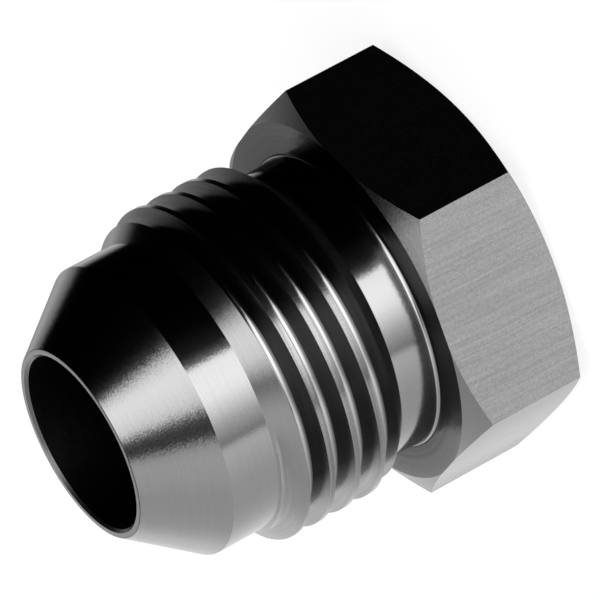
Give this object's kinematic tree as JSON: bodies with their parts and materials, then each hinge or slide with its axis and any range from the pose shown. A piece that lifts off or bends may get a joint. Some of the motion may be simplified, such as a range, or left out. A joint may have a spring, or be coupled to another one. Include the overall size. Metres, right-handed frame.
{
  "type": "flare plug",
  "caption": "Male flare plug turned in one piece from hexagon bar: hexagon head, straight thread, plain pilot and a 37 degree conical nose round a blind bore.",
  "frame": {"origin": "centre of the flat back of the hexagon head, which the plug stands on", "axes": "+Z along the thread's axis towards the nose; two flats of the head face +X and -X"},
  "size_m": [0.0206, 0.0238, 0.0244],
  "materials": {
    "black_anodised": "black anodised, satin, with fine turning lines"
  },
  "bodies": {
    "root": {"flare_plug": "black_anodised"}
  },
  "joints": []
}
